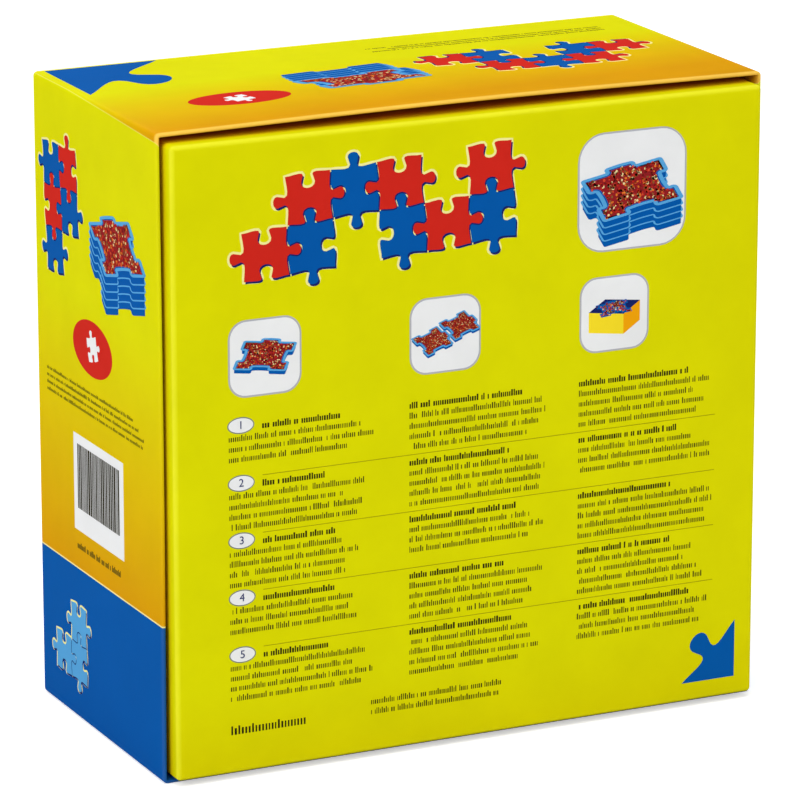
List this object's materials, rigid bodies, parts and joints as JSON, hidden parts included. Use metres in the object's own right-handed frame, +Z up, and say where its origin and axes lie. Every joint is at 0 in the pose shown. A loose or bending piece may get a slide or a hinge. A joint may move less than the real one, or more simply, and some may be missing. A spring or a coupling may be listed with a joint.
{
  "type": "puzzle sorter",
  "caption": "Two-part wrapped greyboard box standing on a narrow side, with stacked open trays inside shaped like a jigsaw piece, each with one tab and three blanks.",
  "frame": {"origin": "under the middle of the box, on the surface it stands on", "axes": "+Z up as it stands, +Y from the base's big panel to the lid's, +X to the right of the base's panel"},
  "size_m": [0.195, 0.099, 0.194],
  "materials": {
    "lid_print": "film-laminated printed paper, yellow to orange with blue",
    "base_print": "film-laminated printed paper, yellow",
    "greyboard": "uncoated grey recycled board",
    "kraft_tape": "brown gummed paper tape",
    "tray_blue": "semi-gloss moulded polystyrene"
  },
  "bodies": {
    "base": {"base_board_panel": "greyboard", "base_board_top": "greyboard", "base_board_bottom": "greyboard", "base_board_left": "greyboard", "base_board_right": "greyboard", "base_wrap": "base_print", "base_corner_stay_top_left": "kraft_tape", "base_corner_stay_top_right": "kraft_tape", "base_corner_stay_bottom_left": "kraft_tape", "base_corner_stay_bottom_right": "kraft_tape"},
    "tray_1": {"sorting_tray_1": "tray_blue"},
    "tray_2": {"sorting_tray_2": "tray_blue"},
    "tray_3": {"sorting_tray_3": "tray_blue"},
    "tray_4": {"sorting_tray_4": "tray_blue"},
    "tray_5": {"sorting_tray_5": "tray_blue"},
    "tray_6": {"sorting_tray_6": "tray_blue"},
    "lid": {"lid_board_panel": "greyboard", "lid_board_top": "greyboard", "lid_board_bottom": "greyboard", "lid_board_left": "greyboard", "lid_board_right": "greyboard", "lid_wrap": "lid_print", "lid_wrap_lower_flap": "lid_print", "lid_corner_stay_top_left": "kraft_tape", "lid_corner_stay_top_right": "kraft_tape", "lid_corner_stay_bottom_left": "kraft_tape", "lid_corner_stay_bottom_right": "kraft_tape"}
  },
  "joints": [
    {"name": "tray_1_lift", "type": "slide", "parent": "base", "child": "tray_1", "axis": [0, 1, 0], "range_m": [0, 0.1058]},
    {"name": "tray_2_lift", "type": "slide", "parent": "tray_1", "child": "tray_2", "axis": [0, 1, 0], "range_m": [0, 0.0904]},
    {"name": "tray_3_lift", "type": "slide", "parent": "tray_2", "child": "tray_3", "axis": [0, 1, 0], "range_m": [0, 0.0749]},
    {"name": "tray_4_lift", "type": "slide", "parent": "tray_3", "child": "tray_4", "axis": [0, 1, 0], "range_m": [0, 0.0595]},
    {"name": "tray_5_lift", "type": "slide", "parent": "tray_4", "child": "tray_5", "axis": [0, 1, 0], "range_m": [0, 0.044]},
    {"name": "tray_6_lift", "type": "slide", "parent": "tray_5", "child": "tray_6", "axis": [0, 1, 0], "range_m": [0, 0.0285]},
    {"name": "lid_lift", "type": "slide", "parent": "tray_6", "child": "lid", "axis": [0, 1, 0], "range_m": [0, 0.103]}
  ]
}
